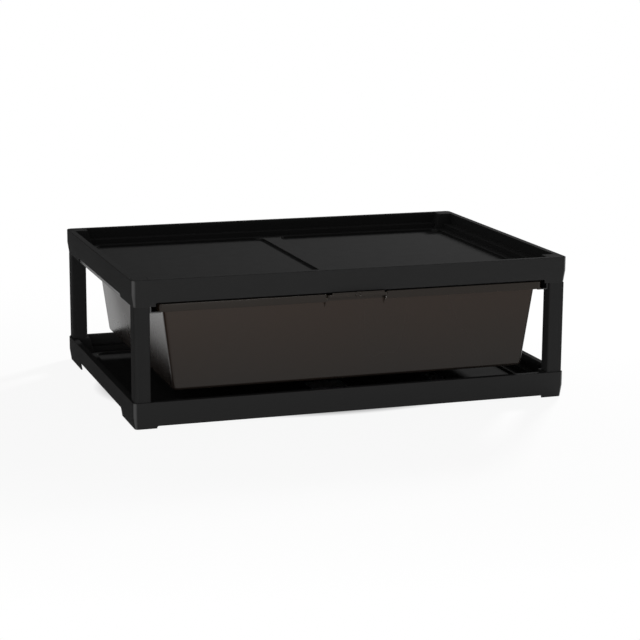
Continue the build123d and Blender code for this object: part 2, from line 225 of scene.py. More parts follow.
class Recipe:
    """The node tree of a material or of the world, built node by node."""

    def __init__(self, owner: Material | bpy.types.World) -> None:
        """Empties the owner's node tree.

        Args:
            owner: The material or the world.
        """
        owner.use_nodes = True
        self.owner = owner
        self.tree = owner.node_tree
        self.tree.nodes.clear()

    def node(
        self,
        kind: str,
        settings: dict[str, object] | None = None,
        inputs: dict[str | int, NodeInput] | None = None,
    ) -> bpy.types.Node:
        """Makes one node.

        Args:
            kind: The node's Blender type.
            settings: Its own settings, which are set first.
            inputs: What each input socket gets: a number, a vector or a link.

        Returns:
            The new node.
        """
        made = self.tree.nodes.new(kind)
        for key, value in (settings or {}).items():
            setattr(made, key, value)
        for key, value in (inputs or {}).items():
            socket = made.inputs[key]
            if isinstance(value, Wire):
                self.tree.links.new(value.socket, socket)
            elif isinstance(value, Socket):
                self.tree.links.new(value, socket)
            else:
                socket.default_value = value
        return made

    def place(self, stretch: Numbers) -> Socket:
        """The point on the object, in metres, stretched along each axis."""
        where = self.node("ShaderNodeTexCoord").outputs["Object"]
        return self.node("ShaderNodeMapping", inputs={"Vector": where, "Scale": stretch}).outputs[0]

    def _part(self, vector: Socket, axis: Axis) -> Wire:
        """One axis of a vector."""
        parts = self.node("ShaderNodeSeparateXYZ", inputs={0: vector}).outputs
        return Wire(self, parts[axis.value])

    def along(self, axis: Axis) -> Wire:
        """The place along one axis, in metres."""
        return self._part(self.node("ShaderNodeTexCoord").outputs["Object"], axis)

    def facing(self, axis: Axis) -> Wire:
        """How far the surface faces along one axis, from -1 to 1."""
        return self._part(self.node("ShaderNodeNewGeometry").outputs["Normal"], axis)

    def noise(self, size: float, detail: float, stretch: Numbers = (1, 1, 1)) -> Wire:
        """Cloudy noise, from about 0 to 1.

        Args:
            size: How many metres its patches are across.
            detail: How many finer layers it has.
            stretch: How much it is squeezed along each axis.

        Returns:
            The noise.
        """
        texture = self.node(
            "ShaderNodeTexNoise",
            inputs={"Vector": self.place(stretch), "Scale": 1 / size, "Detail": detail},
        )
        return Wire(self, texture.outputs[0])

    def edge_wear_and_highlight(self, radius: float) -> Wire:
        """A mask of the sharp outer edges, which the plastics lighten as wear with a painted
        highlight.

        Args:
            radius: How far from an edge it reaches, in metres.

        Returns:
            The mask, which is 1 on edges and 0 on flat faces.
        """
        rounded = self.node("ShaderNodeBevel", {"samples": EDGE_RAYS}, {"Radius": radius})
        normal = self.node("ShaderNodeNewGeometry").outputs["Normal"]
        match = self.node(
            "ShaderNodeVectorMath",
            {"operation": "DOT_PRODUCT"},
            {0: rounded.outputs[0], 1: normal},
        )
        return (1 - Wire(self, match.outputs["Value"])).between(*EDGE_LEAN)

    def mix(self, share: NodeInput, first: NodeInput, second: NodeInput) -> Socket:
        """Two colours mixed, with all of the first where share is 0 and of the second at 1."""
        inputs = {0: share, MIX_FIRST: first, MIX_SECOND: second}
        return self.node("ShaderNodeMix", {"data_type": "RGBA"}, inputs).outputs[MIX_RESULT]

    def relief(self, height: Wire, depth: float) -> Socket:
        """A normal bent by height, whose full range stands for depth metres."""
        inputs = {"Height": height, "Distance": depth, "Strength": 1.0}
        return self.node("ShaderNodeBump", inputs=inputs).outputs[0]

    def seen(self) -> Wire:
        """Tells what is looked at from what only lights.

        Returns:
            1 for what the camera, a mirror or glass looks at, and 0 for light that falls.
        """
        rays = self.node("ShaderNodeLightPath")
        kinds = ("Is Camera Ray", "Is Glossy Ray", "Is Transmission Ray")
        camera, mirror, glass = (Wire(self, rays.outputs[kind]) for kind in kinds)
        return (camera + mirror + glass).between(0.0, 1.0)

    def shine(self, inputs: dict[str | int, NodeInput]) -> Material:
        """Ends the tree with a Principled surface.

        Args:
            inputs: What each of the surface's sockets gets.

        Returns:
            The material.
        """
        surface = self.node("ShaderNodeBsdfPrincipled", inputs=inputs)
        self.node("ShaderNodeOutputMaterial", inputs={"Surface": surface.outputs[0]})
        return self.owner


@dataclass(frozen=True, kw_only=True)
class Plastic:
    """What every plastic has.

    Args:
        name: The material's name.
        body: The plastic's own colour.
        wear_and_highlight: The lighter colour of its scuffs, streaks and edges; on the edges it is
            wear with a painted highlight.
        roughness: How dull the clean surface is.
        gloss: The strength of its reflections, where 0.5 is plain plastic.
        edge: How wide the lighter edges are.
        edge_share: How far they take on their own colour.
    """

    name: str
    body: Shade
    wear_and_highlight: Shade
    roughness: float
    gloss: float
    edge: float = 1.2 * MM
    edge_share: float = 0.5


@dataclass(frozen=True, kw_only=True)
class MouldedPlastic(Plastic):
    """Black moulded plastic with spark-eroded grain, polished corners, painted shade on what faces
    up and edges lightened by wear and a painted highlight.

    Args:
        top_shade: The painted shade on what faces up, a darker colour laid in patches.
        grain: The width of one grain.
        grain_depth: How deep the grain is.
        flow: The width of the patches where the melt set differently.
        flow_change: How much duller such a patch can be.
        grain_change: How much duller a grain can be.
        top_shade_patch: The width of a patch of the painted top shade.
        top_shade_cover: Where in its noise such a patch starts and ends.
        top_shade_least: The share of the painted top shade that lies between the patches.
        dust_change: How much duller what faces up is.
        corner_roughness: How dull the polish on the upright corners is.
    """

    top_shade: Shade
    grain: float = 0.9 * MM
    grain_depth: float = 0.05 * MM
    flow: float = 160 * MM
    flow_change: float = 0.12
    grain_change: float = 0.1
    top_shade_patch: float = 30 * MM
    top_shade_cover: Span = (0.35, 0.75)
    top_shade_least: float = 0.8
    dust_change: float = 0.35
    edge: float = 1.4 * MM
    edge_share: float = 0.6
    corner_roughness: float = 0.3

    def make(self) -> Material:
        """Builds the material.

        Returns:
            The material.
        """
        recipe = Recipe(bpy.data.materials.new(self.name))
        grain = recipe.noise(self.grain, detail=3.0)
        upward = recipe.facing(Axis.Z).between(*FACES_UP)
        patches = recipe.noise(self.top_shade_patch, detail=5.0).between(*self.top_shade_cover)
        # Painted shade: what faces up is coloured darker, in patches; the same faces are also made
        # duller.
        top_shading = upward * (self.top_shade_least + patches * (1 - self.top_shade_least))
        colour = recipe.mix(top_shading, self.body.linear(), self.top_shade.linear())
        # Painted highlight: the sharp edges are lightened, partly as wear and partly as the light
        # they catch.
        edges = recipe.edge_wear_and_highlight(self.edge) * self.edge_share
        across, inward = recipe.facing(Axis.X), recipe.facing(Axis.Y)
        flow = recipe.noise(self.flow, detail=3.0).swing(self.flow_change)
        dull = self.roughness + flow + grain.swing(self.grain_change) + upward * self.dust_change
        return recipe.shine(
            {
                "Base Color": recipe.mix(edges, colour, self.wear_and_highlight.linear()),
                "Roughness": dull,
                "Specular IOR Level": self.gloss,
                "Coat Weight": (across * across * inward * inward).between(*CORNER_TURN),
                "Coat Roughness": self.corner_roughness,
                "Normal": recipe.relief(grain, self.grain_depth),
            }
        )


@dataclass(frozen=True, kw_only=True)
class ExtrudedPlastic(Plastic):
    """Black extruded plastic, drawn out in fine lines along its length.

    Args:
        run: How much the pattern is squeezed along each axis, least along the length.
        line: The width of one line.
        line_depth: How deep the lines are.
        line_change: How much duller a line can be.
        streak: Where in the lines' noise a streak starts and ends.
        streak_share: How far the streaks take on the lighter colour.
        haze: The width of a duller patch.
        haze_change: How much duller it can be.
    """

    run: Numbers
    line: float = 1.6 * MM
    line_depth: float = 0.04 * MM
    line_change: float = 0.16
    streak: Span = (0.55, 0.8)
    streak_share: float = 0.25
    haze: float = 60 * MM
    haze_change: float = 0.1

    def make(self) -> Material:
        """Builds the material.

        Returns:
            The material.
        """
        recipe = Recipe(bpy.data.materials.new(self.name))
        lines = recipe.noise(self.line, detail=2.0, stretch=self.run)
        streaks = lines.between(*self.streak) * self.streak_share
        # Lighter edges: wear with a painted highlight; the streaks follow the extruded lines.
        wear_and_highlight_mask = streaks + recipe.edge_wear_and_highlight(self.edge) * self.edge_share
        colour = recipe.mix(wear_and_highlight_mask, self.body.linear(), self.wear_and_highlight.linear())
        haze = recipe.noise(self.haze, detail=3.0).swing(self.haze_change)
        return recipe.shine(
            {
                "Base Color": colour,
                "Roughness": self.roughness + lines.swing(self.line_change) + haze,
                "Specular IOR Level": self.gloss,
                "Normal": recipe.relief(lines, self.line_depth),
            }
        )


@dataclass(frozen=True, kw_only=True)
class SmokePlastic(Plastic):
    """Glossy smoke-brown plastic of the tub, scuffed towards its floor, with painted shade towards
    the floor and on the lip.

    Args:
        deep: The painted shade near its floor, darker and greyer than the body.
        shaded: The painted shade on its lip, darker than the walls.
        low: The height of the tub's floor.
        lip: The height of the lower edge of its lip.
        high: The height of its top.
        sheen: The tint of what it mirrors.
        flow: The width of the patches where the melt set differently.
        flow_run: How much those patches are squeezed along each axis.
        flow_depth: How much they move the edge of the painted shade up or down.
        flow_change: How much duller such a patch can be.
        floor_shade_share: How far the painted shade near the floor takes over.
        lip_blend: Half the height over which the lip's painted shade comes in.
        lip_polish: How much smoother the lip is.
        ripple: The width of the waves in its surface.
        ripple_depth: How deep they are.
        scuff: The size of one scuff.
        scuff_run: How much the scuffs are squeezed along each axis.
        scuff_cover: Where in their noise they start and end.
        scuff_reach: How far down the walls they start, and where there are most.
        scuff_share: How far they take on the lighter colour.
    """

    deep: Shade
    shaded: Shade
    low: float
    lip: float
    high: float
    sheen: Numbers = (1.0, 0.97, 0.93, 1.0)
    flow: float = 220 * MM
    flow_run: Numbers = (1.0, 1.0, 0.35)
    flow_depth: float = 0.4
    flow_change: float = 0.06
    floor_shade_share: float = 0.8
    lip_blend: float = 1 * MM
    lip_polish: float = 0.13
    ripple: float = 30 * MM
    ripple_depth: float = 0.012 * MM
    scuff: float = 8 * MM
    scuff_run: Numbers = (0.25, 0.25, 1.0)
    scuff_cover: Span = (0.58, 0.82)
    scuff_reach: Span = (0.55, 1.0)
    scuff_share: float = 0.03
    edge_share: float = 0.3

    def make(self) -> Material:
        """Builds the material.

        Returns:
            The material.
        """
        recipe = Recipe(bpy.data.materials.new(self.name))
        height = recipe.along(Axis.Z)
        down = 1 - height.between(self.low, self.high)
        flow = recipe.noise(self.flow, detail=2.0, stretch=self.flow_run)
        # Painted shade: the walls turn darker and greyer towards the floor, its edge moved up and
        # down by the flow noise.
        depth = (down * self.floor_shade_share + flow.swing(self.flow_depth)).between(0.0, 1.0)
        colour = recipe.mix(depth, self.body.linear(), self.deep.linear())
        # Painted shade: the lip is coloured darker than the walls. The same mask makes it smoother
        # below.
        lip = height.between(self.lip - self.lip_blend, self.lip + self.lip_blend)
        colour = recipe.mix(lip, colour, self.shaded.linear())
        scuffs = recipe.noise(self.scuff, detail=3.0, stretch=self.scuff_run)
        reach = down.between(*self.scuff_reach) * self.scuff_share
        scuffs = scuffs.between(*self.scuff_cover) * reach
        # Lighter edges: wear with a painted highlight; the scuffs are wear.
        wear_and_highlight_mask = scuffs + recipe.edge_wear_and_highlight(self.edge) * self.edge_share
        ripple = recipe.noise(self.ripple, detail=1.0)
        return recipe.shine(
            {
                "Base Color": recipe.mix(wear_and_highlight_mask, colour, self.wear_and_highlight.linear()),
                "Roughness": self.roughness + flow.swing(self.flow_change) - lip * self.lip_polish,
                "Specular IOR Level": self.gloss,
                "Specular Tint": self.sheen,
                "Normal": recipe.relief(ripple, self.ripple_depth),
            }
        )


@dataclass(frozen=True)
class BrushedSteel:
    """Zinc-bright steel of the screws, finely brushed.

    Args:
        name: The material's name.
        body: The metal's colour.
        stained: The colour of its duller patches.
        roughness: How dull it is.
        patch: The width of a duller patch.
        patch_change: How much duller it can be.
        brush: The width of the brushed marks.
        brush_change: How much duller they are.
        brush_depth: How deep they are.
    """

    name: str
    body: Shade
    stained: Shade
    roughness: float = 0.26
    patch: float = 2.5 * MM
    patch_change: float = 0.2
    brush: float = 0.4 * MM
    brush_change: float = 0.08
    brush_depth: float = 0.02 * MM

    def make(self) -> Material:
        """Builds the material.

        Returns:
            The material.
        """
        recipe = Recipe(bpy.data.materials.new(self.name))
        patches = recipe.noise(self.patch, detail=4.0)
        marks = recipe.noise(self.brush, detail=1.0)
        dull = self.roughness + patches.swing(self.patch_change) + marks * self.brush_change
        return recipe.shine(
            {
                "Base Color": recipe.mix(patches, self.body.linear(), self.stained.linear()),
                "Metallic": 1.0,
                "Roughness": dull,
                "Normal": recipe.relief(marks, self.brush_depth),
            }
        )


class Bench:
    """Starts, shapes and finishes meshes with Blender's own operators."""

    @staticmethod
    def clear() -> None:
        """Deselects every object."""
        bpy.ops.object.select_all(action="DESELECT")

    @staticmethod
    def choose(*pieces: Piece) -> None:
        """Selects these pieces alone and makes the first one active.

        Args:
            *pieces: The pieces.
        """
        Bench.clear()
        for piece in pieces:
            piece.select_set(True)
        bpy.context.view_layer.objects.active = pieces[0]

    @staticmethod
    def settle(name: str) -> Piece:
        """Names the active object and moves its place into its mesh.

        Args:
            name: Its name.

        Returns:
            The object.
        """
        piece = bpy.context.active_object
        piece.name = name
        piece.data.name = name
        bpy.ops.object.transform_apply(location=True, rotation=True, scale=True)
        return piece

    @staticmethod
    def block(name: str, low: Vector, high: Vector) -> Piece:
        """Starts a piece as a box.

        Args:
            name: The piece's name.
            low: The box's lowest corner.
            high: Its highest corner.

        Returns:
            The box.
        """
        Bench.clear()
        bpy.ops.mesh.primitive_cube_add(size=1, location=(low + high) / 2)
        bpy.context.active_object.scale = high - low
        return Bench.settle(name)

    @staticmethod
    def drum(
        name: str, centre: Vector, radius: float, depth: float, sides: int, turn: Numbers = UPRIGHT
    ) -> Piece:
        """Starts a piece as a cylinder.

        Args:
            name: The piece's name.
            centre: The cylinder's centre.
            radius: Its radius.
            depth: Its length.
            sides: How many sides it has.
            turn: How it is turned from upright.

        Returns:
            The cylinder.
        """
        Bench.clear()
        bpy.ops.mesh.primitive_cylinder_add(
            vertices=sides, radius=radius, depth=depth, location=centre, rotation=turn
        )
        return Bench.settle(name)

    @staticmethod
    def copy(piece: Piece, step: Vector) -> Piece:
        """Copies a piece, with a mesh of its own.

        Args:
            piece: The piece.
            step: How far from it the copy stands.

        Returns:
            The copy.
        """
        Bench.choose(piece)
        bpy.ops.object.duplicate_move(
            OBJECT_OT_duplicate={"linked": False}, TRANSFORM_OT_translate={"value": step}
        )
        return Bench.settle(piece.name)

    @staticmethod
    @contextmanager
    def editing(piece: Piece) -> Iterator[None]:
        """Holds the piece in edit mode, alone.

        Args:
            piece: The piece.

        Yields:
            Nothing, while the piece is in edit mode.
        """
        Bench.choose(piece)
        bpy.ops.object.mode_set(mode="EDIT")
        yield
        bpy.ops.object.mode_set(mode="OBJECT")

    @staticmethod
    def pick(piece: Piece, kind: Pick, wanted: Callable[..., bool]) -> None:
        """Selects what wanted holds for, and nothing else.

        Args:
            piece: The piece, in edit mode.
            kind: Corners, edges or faces.
            wanted: A test of one of them.
        """
        bpy.ops.mesh.select_all(action="DESELECT")
        bpy.ops.mesh.select_mode(type=kind.value)
        mesh = bmesh.from_edit_mesh(piece.data)
        parts = {Pick.CORNER: mesh.verts, Pick.EDGE: mesh.edges, Pick.FACE: mesh.faces}[kind]
        for part in [part for part in parts if wanted(part)]:
            part.select_set(True)
        bmesh.update_edit_mesh(piece.data)

    @staticmethod
    def weld() -> None:
        """Selects the whole piece in edit mode and merges corners that lie together."""
        bpy.ops.mesh.select_all(action="SELECT")
        bpy.ops.mesh.remove_doubles(threshold=WELD)

    @staticmethod
    def stretch(factors: Numbers, centre: Vector) -> None:
        """Scales the selection about centre."""
        bpy.ops.transform.resize(value=factors, center_override=centre)

    @staticmethod
    def draw_out(step: Numbers) -> None:
        """Extrudes the selected edges by step."""
        bpy.ops.mesh.extrude_edges_move(TRANSFORM_OT_translate={"value": step})

    @staticmethod
    def push(step: Numbers) -> None:
        """Extrudes the selected faces by step."""
        bpy.ops.mesh.extrude_region_move(TRANSFORM_OT_translate={"value": step})

    @staticmethod
    def round_off(width: float, segments: int, affect: str = "EDGES") -> None:
        """Bevels the selection."""
        bpy.ops.mesh.bevel(offset=width, segments=segments, affect=affect, profile=0.5)

    @staticmethod
    def apply(piece: Piece, kind: str, **settings: object) -> None:
        """Adds a modifier and applies it.

        Args:
            piece: The piece.
            kind: The modifier's Blender type.
            **settings: The modifier's settings.
        """
        Bench.choose(piece)
        modifier = piece.modifiers.new(kind.lower(), kind)
        for key, value in settings.items():
            setattr(modifier, key, value)
        bpy.ops.object.modifier_apply(modifier=modifier.name)

    @staticmethod
    def polish(piece: Piece, width: float, segments: int, angle: float) -> None:
        """Rounds the sharp edges and smooths the shading.

        Args:
            piece: The piece.
            width: The width of a rounded edge.
            segments: How many steps it has.
            angle: How sharp an edge is rounded, in degrees.
        """
        Bench.apply(
            piece,
            "BEVEL",
            width=width,
            segments=segments,
            limit_method="ANGLE",
            angle_limit=math.radians(angle),
            miter_outer="MITER_ARC",
        )
        Bench.choose(piece)
        bpy.ops.object.shade_smooth()
        Bench.apply(piece, "WEIGHTED_NORMAL", mode="FACE_AREA", weight=80, keep_sharp=True)

    @staticmethod
    def join(name: str, *pieces: Piece) -> Piece:
        """Joins the pieces into the first one.

        Args:
            name: The name of what they become.
            *pieces: The pieces.

        Returns:
            The joined piece.
        """
        Bench.choose(*pieces)
        bpy.ops.object.join()
        pieces[0].name = name
        pieces[0].data.name = name
        return pieces[0]


def at(value: float, axis: Axis) -> Callable[..., bool]:
    """A test that all of an edge's or face's corners lie at value along an axis."""
    return lambda part: all(abs(corner.co[axis.value] - value) < NEAR for corner in part.verts)


def finish(piece: Piece, body: Body, material: Material) -> None:
    """Dresses a new piece and gives it its body.

    Args:
        piece: The piece, in its place.
        body: The body that it moves with.
        material: Its material.
    """
    piece.data.materials.clear()
    piece.data.materials.append(material)
    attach(piece, body.value)
    log.info("%s: %d faces on %s", piece.name, len(piece.data.polygons), body.value)


@dataclass
class Moulding:
    """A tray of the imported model, taken over with small rounded edges.

    Args:
        node: The node's name, which the new piece replaces.
        material: Its material.
        round: The width of its rounded edges.
        down: The Z of the normal under which a face counts as facing straight down.
    """

    node: str
    material: Material
    round: float = 0.8 * MM
    down: float = -0.99

    def _copy(self) -> Piece:
        """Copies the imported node, free of its body.

        Returns:
            The copy.
        """
        source = frame["nodes"][self.node]
        piece = source.copy()
        piece.data = source.data.copy()
        piece.name = f"{self.node}_moulding"
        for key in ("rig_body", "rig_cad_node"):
            del piece[key]
        piece.parent = None
        bpy.context.scene.collection.objects.link(piece)
        piece.matrix_world = Matrix.Identity(4)
        return piece

    def build(self) -> Piece:
        """Copies the tray, merges its flat triangles and rounds its edges.

        What faces straight down keeps its triangles, because the ribs' lattice has holes, and
        one merged face can't go round them.

        Returns:
            The new piece.
        """
        piece = self._copy()
        with Bench.editing(piece):
            Bench.weld()
            bpy.ops.mesh.customdata_custom_splitnormals_clear()
            Bench.pick(piece, Pick.FACE, lambda f: f.normal.z > self.down)
            bpy.ops.mesh.dissolve_limited(angle_limit=math.radians(0.5))
        Bench.polish(piece, self.round, segments=2, angle=32)
        finish(piece, Body.FRAME, self.material)
        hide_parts(self.node)
        return piece


@dataclass
class Dressing:
    """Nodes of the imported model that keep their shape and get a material.

    Args:
        nodes: The nodes' names.
        material: Their material.
    """

    nodes: Sequence[str]
    material: Material

    def build(self) -> None:
        """Puts the material on each node."""
        for name in self.nodes:
            node = frame["nodes"][name]
            node.data.materials.clear()
            node.data.materials.append(self.material)
            log.info("%s: dressed in %s", name, self.material.name)


@dataclass
class Tub:
    """The tub: one drafted shell with a flanged, turned-down lip and a pull.

    Args:
        material: Its material.
        wall: The thickness of the shell.
        lip_width: How far the lip stands out from the walls.
        lip_face: How far its edge is turned down.
        side_draft: How far each side wall leans in towards the floor.
        end_draft: How far the front and rear walls lean in.
        corner_round: The radius of the upright corners.
        floor_round: The radius round the floor.
        edge_round: The width of the rounding on the shell's sharp edges.
        pull_half: Half the width of the pull.
        pull_reach: How far the pull stands out of the lip.
        pull_face: How far its edge is turned down.
        pull_rise: How far its front edge stands up over the lip.
        pull_round: The radius of its corners.
        ridge_round: The radius of that front edge.
        gusset_drop: How far the webs beside it reach down.
        gusset_round: The width of the rounding on their edges.
        eyelet_round: The outer radius of its eyelet.
        eyelet_hole: The radius of the eyelet's hole.
        eyelet_depth: How far the eyelet stands out of the pull.
        eyelet_rise: How far it rises over the lip.
        eyelet_edge: The width of the rounding on its edges.
    """

    material: Material
    wall: float = 2.8 * MM
    lip_width: float = 11 * MM
    lip_face: float = 16.5 * MM
    side_draft: float = 24 * MM
    end_draft: float = 12 * MM
    corner_round: float = 10 * MM
    floor_round: float = 7 * MM
    edge_round: float = 1.1 * MM
    pull_half: float = 67 * MM
    pull_reach: float = 12 * MM
    pull_face: float = 7 * MM
    pull_rise: float = 4 * MM
    pull_round: float = 9 * MM
    ridge_round: float = 1.0 * MM
    gusset_drop: float = 32 * MM
    gusset_round: float = 0.4 * MM
    eyelet_round: float = 7 * MM
    eyelet_hole: float = 2.8 * MM
    eyelet_depth: float = 3 * MM
    eyelet_rise: float = 5 * MM
    eyelet_edge: float = 0.6 * MM

    def __post_init__(self) -> None:
        """Works out the lip's edges and the tub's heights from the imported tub."""
        low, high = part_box("tub")
        self.lip_half = high.x
        self.lip_rear = high.y
        self.lip_front = low.y + self.eyelet_depth + self.pull_reach
        self.pull_front = self.lip_front - self.pull_reach
        self.bottom = low.z
        self.top = high.z - self.eyelet_rise
        self.rim = self.top - self.wall
        self.edge_front = self.lip_front + self.wall

    def _walls(self) -> Piece:
        """Shapes the outer faces of the walls and floor.

        Returns:
            The shell, open at the top.
        """
        half = self.lip_half - self.lip_width
        front, rear = self.lip_front + self.lip_width, self.lip_rear - self.lip_width
        low, high = Vector((-half, front, self.bottom)), Vector((half, rear, self.rim))
        shell = Bench.block("tub_shell", low, high)
        long = (half - self.side_draft) / half
        deep = 1 - 2 * self.end_draft / (rear - front)
        middle = Vector((0, (front + rear) / 2, self.bottom))
        with Bench.editing(shell):
            Bench.pick(shell, Pick.FACE, at(self.bottom, Axis.Z))
            Bench.stretch((long, deep, 1), middle)
            Bench.pick(shell, Pick.FACE, at(self.rim, Axis.Z))
            bpy.ops.mesh.delete(type="ONLY_FACE")
            Bench.pick(shell, Pick.EDGE, self._is_upright)
            Bench.round_off(self.corner_round, segments=8)
            Bench.pick(shell, Pick.EDGE, at(self.bottom, Axis.Z))
            Bench.round_off(self.floor_round, segments=5)
        return shell

    def _is_upright(self, edge: bmesh.types.BMEdge) -> bool:
        """Whether an edge of the first box is one of its four corners."""
        return abs(edge.verts[0].co.z - edge.verts[1].co.z) > self.floor_round

    def _is_front_lip(self, face: bmesh.types.BMFace) -> bool:
        """Whether a face is the long one in front of the tub's mouth."""
        long = at(self.rim, Axis.Z)(face) and face.calc_area() > self.lip_width * self.pull_half
        return long and all(v.co.y < self.lip_front + 2 * self.lip_width for v in face.verts)

    def _is_pull_root(self, edge: bmesh.types.BMEdge) -> bool:
        """Whether an edge is the stretch of the lip's front that the pull grows from."""
        inside = all(abs(v.co.x) < self.pull_half for v in edge.verts)
        return at(self.edge_front, Axis.Y)(edge) and inside

    def _flange(self, shell: Piece) -> None:
        """Draws the mouth's edge out into the lip and the pull.

        Args:
            shell: The walls and floor.
        """
        half_depth = (self.lip_rear - self.lip_front) / 2
        centre = Vector((0, (self.lip_front + self.lip_rear) / 2, self.rim))
        long = (self.lip_half - self.wall) / (self.lip_half - self.lip_width)
        deep = (half_depth - self.wall) / (half_depth - self.lip_width)
        with Bench.editing(shell):
            Bench.pick(shell, Pick.EDGE, lambda e: e.is_boundary)
            Bench.draw_out((0, 0, 0))
            Bench.stretch((long, deep, 1), centre)
            for x in (-self.pull_half + self.wall, self.pull_half - self.wall):
                Bench.pick(shell, Pick.FACE, self._is_front_lip)
                bpy.ops.mesh.bisect(plane_co=(x, 0, 0), plane_no=(1, 0, 0))
            Bench.pick(shell, Pick.EDGE, self._is_pull_root)
            Bench.draw_out((0, -self.pull_reach, 0))
            tip = self.edge_front - self.pull_reach + NEAR
            Bench.pick(shell, Pick.CORNER, lambda v: v.co.y < tip)
            Bench.round_off(self.pull_round - self.wall, segments=6, affect="VERTICES")

    def _turn_down(self, shell: Piece) -> None:
        """Turns the lip's outer edge down, less far along the pull.

        Args:
            shell: The shell with its flange.
        """
        low = self.top - self.pull_face
        start = self.edge_front - NEAR

        def beside_pull(edge: bmesh.types.BMEdge) -> bool:
            """Whether a lowest edge belongs to the lip and not to the pull."""
            behind = all(v.co.y > start for v in edge.verts)
            return edge.is_boundary and at(low, Axis.Z)(edge) and behind

        with Bench.editing(shell):
            Bench.pick(shell, Pick.EDGE, lambda e: e.is_boundary)
            Bench.draw_out((0, 0, low - self.rim))
            Bench.pick(shell, Pick.EDGE, beside_pull)
            Bench.draw_out((0, 0, self.pull_face - self.lip_face))

    def _thicken(self, shell: Piece) -> None:
        """Gives the shell its wall, which grows into the tub, and rounds its edges.

        Args:
            shell: The outer faces.
        """
        with Bench.editing(shell):
            Bench.weld()
            bpy.ops.mesh.normals_make_consistent(inside=False)
        # The wall grows inwards, whichever way the normals came out
        floor = min(shell.data.polygons, key=lambda p: p.center.z)
        Bench.apply(
            shell,
            "SOLIDIFY",
            thickness=self.wall,
            offset=-1.0 if floor.normal.z < 0 else 1.0,
            use_even_offset=True,
            use_quality_normals=True,
        )
        Bench.polish(shell, self.edge_round, segments=3, angle=38)

    def _gussets(self) -> tuple[Piece, Piece]:
        """Models the web that braces one end of the pull, and copies it to the other.

        Returns:
            Both webs.
        """
        low = self.top - self.gusset_drop
        back = self.lip_front + self.lip_width + self.wall

        def below_pull(edge: bmesh.types.BMEdge) -> bool:
            """Whether an edge is the lowest one in front of the lip."""
            return at(low, Axis.Z)(edge) and all(v.co.y < self.lip_front for v in edge.verts)

        web = Bench.block(
            "gusset",
            Vector((-self.pull_half, self.pull_front + self.pull_round, low)),
            Vector((self.wall - self.pull_half, back, self.top - self.wall / 2)),
        )
        with Bench.editing(web):
            Bench.pick(web, Pick.EDGE, below_pull)
            bpy.ops.transform.translate(value=(0, 0, self.gusset_drop - self.pull_face))
        Bench.polish(web, self.gusset_round, segments=2, angle=30)
        return web, Bench.copy(web, Vector((2 * self.pull_half - self.wall, 0, 0)))

    def _ridge(self) -> Piece:
        """Models the upstanding front edge of the pull.

        Returns:
            The ridge.
        """
        half = self.pull_half - self.pull_round
        ridge = Bench.block(
            "ridge",
            Vector((-half, self.pull_front, self.top - self.wall / 2)),
            Vector((half, self.pull_front + self.wall, self.top + self.pull_rise)),
        )
        Bench.polish(ridge, self.ridge_round, segments=4, angle=30)
        return ridge

    def _eyelet(self) -> Piece:
        """Models the small eyelet in the middle of the pull.

        Returns:
            The eyelet.
        """
        depth = self.eyelet_depth + self.wall / 2
        face = self.pull_front - self.eyelet_depth
        height = self.top + self.eyelet_rise - self.eyelet_round
        centre = Vector((0, face + depth / 2, height))
        ring = Bench.drum("eyelet", centre, self.eyelet_round, depth, sides=40, turn=FACING_FRONT)
        with Bench.editing(ring):
            Bench.pick(ring, Pick.FACE, at(face, Axis.Y))
            bpy.ops.mesh.inset(thickness=self.eyelet_round - self.eyelet_hole)
            Bench.push((0, self.eyelet_depth, 0))
        Bench.polish(ring, self.eyelet_edge, segments=3, angle=40)
        return ring

    def build(self) -> Piece:
        """Builds the whole tub.

        Returns:
            The tub.
        """
        shell = self._walls()
        self._flange(shell)
        self._turn_down(shell)
        self._thicken(shell)
        tub = Bench.join("tub_body", shell, *self._gussets(), self._ridge(), self._eyelet())
        finish(tub, Body.TUB, self.material)
        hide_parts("tub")
        return tub


